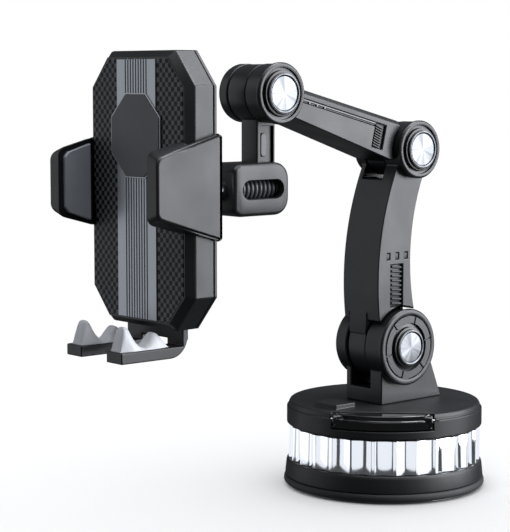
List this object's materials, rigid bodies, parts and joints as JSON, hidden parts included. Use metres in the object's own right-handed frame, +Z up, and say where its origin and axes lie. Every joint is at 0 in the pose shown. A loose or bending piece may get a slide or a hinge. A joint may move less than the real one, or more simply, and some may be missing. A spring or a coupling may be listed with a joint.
{
  "type": "car phone mount",
  "caption": "Suction-base car phone mount: lever-locked cup, swivelling turret, jointed arm with ball head, and a spring clamp with side jaws and sliding feet.",
  "frame": {"origin": "centre of the suction face, on the surface that the base is stuck to", "axes": "+Z up out of the base, the phone faces -Y, the arm's hinge axes run along X"},
  "size_m": [0.084, 0.1916, 0.1798],
  "materials": {
    "gel": "smooth tacky gel",
    "rubber_black": "moulded rubber",
    "abs_black": "fine spark-eroded texture",
    "plated_ring": "satin plated ABS",
    "steel": "zinc plated",
    "pom_white": "moulded acetal",
    "gloss_black": "polished black",
    "brass": "stamped",
    "cap_black": "satin moulded",
    "spun_disc": "spun radial brush",
    "arm_abs": "fine matte texture",
    "clamp_abs": "fine matte texture",
    "carbon_film": "twill pattern under clear film",
    "satin_strip": "brushed, fluted",
    "silicone_pad": "soft matte silicone",
    "jaw_rubber": "soft moulded rubber",
    "foot_grey": "satin light grey"
  },
  "bodies": {
    "base": {"gel_pad": "gel", "suction_cup": "rubber_black", "base_housing": "abs_black", "fluted_ring": "plated_ring"},
    "stem": {"suction_stem": "steel", "lift_plate": "pom_white", "stem_nut": "steel"},
    "turret": {"base_cover": "abs_black", "swivel_washer": "pom_white", "swivel_retainer": "abs_black", "retainer_screws": "steel", "lever_pin": "steel", "turret_fork": "abs_black", "turret_screws": "steel", "lower_axle": "steel", "lower_axle_nut": "steel", "lower_washers": "brass", "lower_cap": "cap_black", "lower_cap_ring": "cap_black", "lower_cap_disc": "spun_disc", "lower_end_cap": "cap_black"},
    "lever": {"lock_lever": "gloss_black"},
    "lower_arm": {"lower_arm": "arm_abs", "lower_arm_grille": "abs_black", "lower_arm_studs": "gloss_black", "elbow_axle": "steel", "elbow_washers": "brass", "elbow_cap": "cap_black", "elbow_cap_disc": "spun_disc", "elbow_end_cap": "cap_black"},
    "upper_arm": {"upper_arm": "arm_abs", "upper_arm_grille": "abs_black", "upper_arm_inlay": "gloss_black", "wrist_axle": "steel", "wrist_washers": "brass", "wrist_cap": "cap_black", "wrist_cap_disc": "spun_disc", "wrist_end_cap": "cap_black"},
    "neck": {"neck": "arm_abs", "neck_key": "abs_black", "barrel_core": "cap_black", "ball_stud": "steel"},
    "ball_roll": {"ball_liner_rear": "pom_white"},
    "ball_tilt": {"ball_liner_front": "pom_white"},
    "clamp": {"clamp_body": "clamp_abs", "clamp_rear_cover": "clamp_abs", "clamp_screws": "steel", "front_panel": "carbon_film", "centre_strip": "satin_strip", "phone_pad": "silicone_pad", "pinion_spring": "steel"},
    "socket_nut": {"socket_nut": "abs_black"},
    "jaw_right": {"jaw_right": "clamp_abs", "jaw_pad_right": "jaw_rubber"},
    "jaw_left": {"jaw_left": "clamp_abs", "jaw_pad_left": "jaw_rubber"},
    "pinion": {"jaw_pinion": "pom_white"},
    "feet": {"foot_carrier": "abs_black", "foot_pad_left": "foot_grey", "foot_pad_right": "foot_grey"}
  },
  "joints": [
    {"name": "base_swivel", "type": "hinge", "parent": "base", "child": "turret", "pos_m": [0, 0, 0.026], "axis": [0, 0, 1], "continuous": true},
    {"name": "lever_flip", "type": "hinge", "parent": "turret", "child": "lever", "pos_m": [0.02362, -0.02446, 0.0329], "axis": [-0.7193, -0.6947, 0], "range_deg": [0, 28]},
    {"name": "stem_lift", "type": "slide", "parent": "base", "child": "stem", "axis": [0, 0, 1], "range_m": [-0.002, 0]},
    {"name": "lower_hinge", "type": "hinge", "parent": "turret", "child": "lower_arm", "pos_m": [0, 0, 0.0592], "axis": [1, 0, 0], "range_deg": [-45, 25]},
    {"name": "elbow_hinge", "type": "hinge", "parent": "lower_arm", "child": "upper_arm", "pos_m": [0, 0.0059, 0.1406], "axis": [-1, 0, 0], "range_deg": [-14, 60]},
    {"name": "wrist_hinge", "type": "hinge", "parent": "upper_arm", "child": "neck", "pos_m": [0, -0.0703, 0.1639], "axis": [-1, 0, 0], "range_deg": [-20, 75]},
    {"name": "ball_roll", "type": "hinge", "parent": "neck", "child": "ball_roll", "pos_m": [0, -0.1055, 0.1272], "axis": [0, 1, 0], "continuous": true},
    {"name": "ball_tilt", "type": "hinge", "parent": "ball_roll", "child": "ball_tilt", "pos_m": [0, -0.1055, 0.1272], "axis": [1, 0, 0], "range_deg": [-20, 20]},
    {"name": "ball_pan", "type": "hinge", "parent": "ball_tilt", "child": "clamp", "pos_m": [0, -0.1055, 0.1272], "axis": [0, 0, 1], "range_deg": [-20, 20]},
    {"name": "nut_turn", "type": "hinge", "parent": "clamp", "child": "socket_nut", "pos_m": [0, -0.107, 0.1272], "axis": [0, 1, 0], "range_deg": [0, 60]},
    {"name": "jaw_open", "type": "slide", "parent": "clamp", "child": "jaw_right", "axis": [1, 0, 0], "range_m": [0, 0.017], "stiffness_N_per_m": 90, "springref_m": -0.02},
    {"name": "jaw_left_open", "type": "slide", "parent": "clamp", "child": "jaw_left", "axis": [-1, 0, 0], "range_m": [0, 0.017]},
    {"name": "pinion_turn", "type": "hinge", "parent": "clamp", "child": "pinion", "pos_m": [0, -0.1245, 0.129], "axis": [0, 1, 0], "range_deg": [-163, 0]},
    {"name": "foot_slide", "type": "slide", "parent": "clamp", "child": "feet", "axis": [0, 0, 1], "range_m": [-0.015, 0]}
  ],
  "couplings": [
    {"joint": "lever_flip", "follows": "stem_lift", "rad_per_m": -244.32},
    {"joint": "jaw_left_open", "follows": "jaw_open", "ratio": 1},
    {"joint": "pinion_turn", "follows": "jaw_open", "rad_per_m": -166.67}
  ]
}
